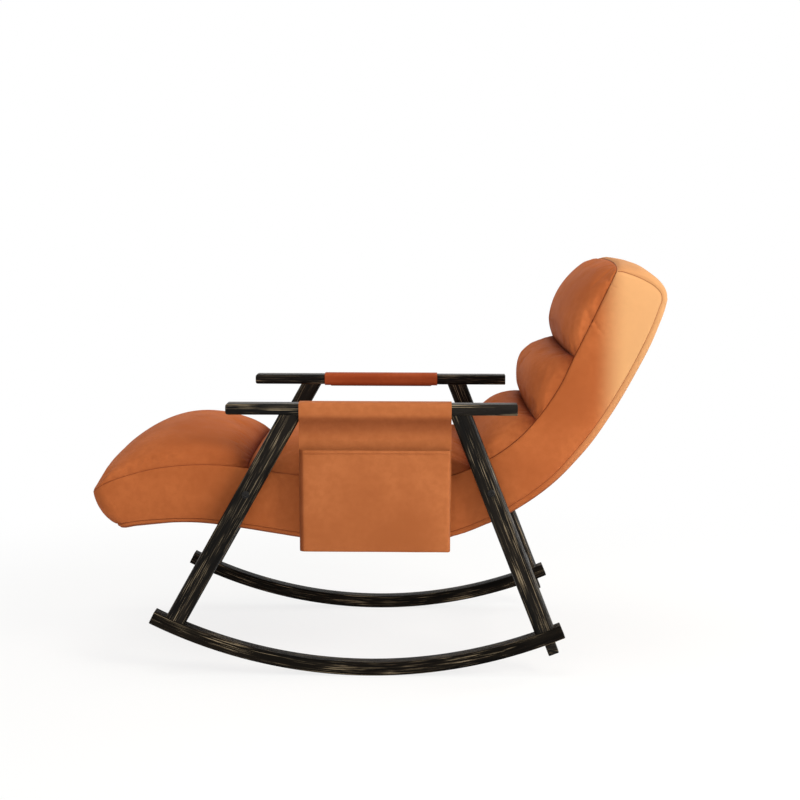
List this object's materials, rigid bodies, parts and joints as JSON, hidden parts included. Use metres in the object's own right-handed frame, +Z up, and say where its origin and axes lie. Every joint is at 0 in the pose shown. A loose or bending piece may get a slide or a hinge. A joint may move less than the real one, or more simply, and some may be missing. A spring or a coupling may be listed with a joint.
{
  "type": "rocking lounge chair",
  "caption": "Rocking lounge chair: dark wooden side frames on curved runners, a padded tan leather seat with tufted back and footrest, and a hanging arm pocket.",
  "frame": {"origin": "centre of the bounding box in X and Y, on the floor plane that the flat facets of the runners' undersides lie on", "axes": "+Z up, -X towards the sitter's feet, +X towards the head, +Y towards the sitter's right; the pocket is on the -Y side"},
  "size_m": [1.2457, 0.6686, 0.8856],
  "materials": {
    "stained_wood": "satin",
    "leather": "satin",
    "leather_over_foam": "satin",
    "foam": "matte",
    "plywood": "matte",
    "beech": "matte",
    "webbing": "matte",
    "blackened_steel": "satin"
  },
  "bodies": {
    "chair": {"left_runner": "stained_wood", "left_arm_rail": "stained_wood", "left_rear_stop": "stained_wood", "left_stop_screw": "blackened_steel", "left_front_leg": "stained_wood", "left_front_arm_dowel": "beech", "left_front_foot_dowel": "beech", "left_rear_leg": "stained_wood", "left_rear_arm_dowel": "beech", "left_rear_foot_dowel": "beech", "right_runner": "stained_wood", "right_arm_rail": "stained_wood", "right_rear_stop": "stained_wood", "right_stop_screw": "blackened_steel", "right_front_leg": "stained_wood", "right_front_arm_dowel": "beech", "right_front_foot_dowel": "beech", "right_rear_leg": "stained_wood", "right_rear_arm_dowel": "beech", "right_rear_foot_dowel": "beech", "front_stretcher": "stained_wood", "rear_stretcher": "stained_wood", "left_side_wall": "leather_over_foam", "left_side_board": "plywood", "right_side_wall": "leather_over_foam", "right_side_board": "plywood", "foot_end_wall": "leather_over_foam", "head_end_wall": "leather_over_foam", "foam_deck": "foam", "footrest_core": "foam", "cross_batten_1": "plywood", "cross_batten_2": "plywood", "cross_batten_3": "plywood", "cross_batten_4": "plywood", "cross_batten_5": "plywood", "webbing_strap_1": "webbing", "webbing_strap_2": "webbing", "webbing_strap_3": "webbing", "webbing_strap_4": "webbing", "webbing_strap_5": "webbing", "footrest_pad": "leather_over_foam", "seat_pad": "leather_over_foam", "lumbar_pad": "leather_over_foam", "middle_back_pad": "leather_over_foam", "head_pad": "leather_over_foam", "back_panel": "leather_over_foam", "left_front_spacer": "blackened_steel", "left_front_seat_bolt": "blackened_steel", "left_rear_spacer": "blackened_steel", "left_rear_seat_bolt": "blackened_steel", "right_front_spacer": "blackened_steel", "right_front_seat_bolt": "blackened_steel", "right_rear_spacer": "blackened_steel", "right_rear_seat_bolt": "blackened_steel", "right_arm_sleeve": "leather", "right_sleeve_closure": "webbing", "left_arm_wrap": "leather", "left_wrap_closure": "webbing"},
    "pocket": {"pocket_panel": "leather", "pouch": "leather"}
  },
  "joints": [
    {"name": "pocket_swing", "type": "hinge", "parent": "chair", "child": "pocket", "pos_m": [0, -0.31946, 0.5575], "axis": [-1, 0, 0], "range_deg": [-8, 75]}
  ]
}
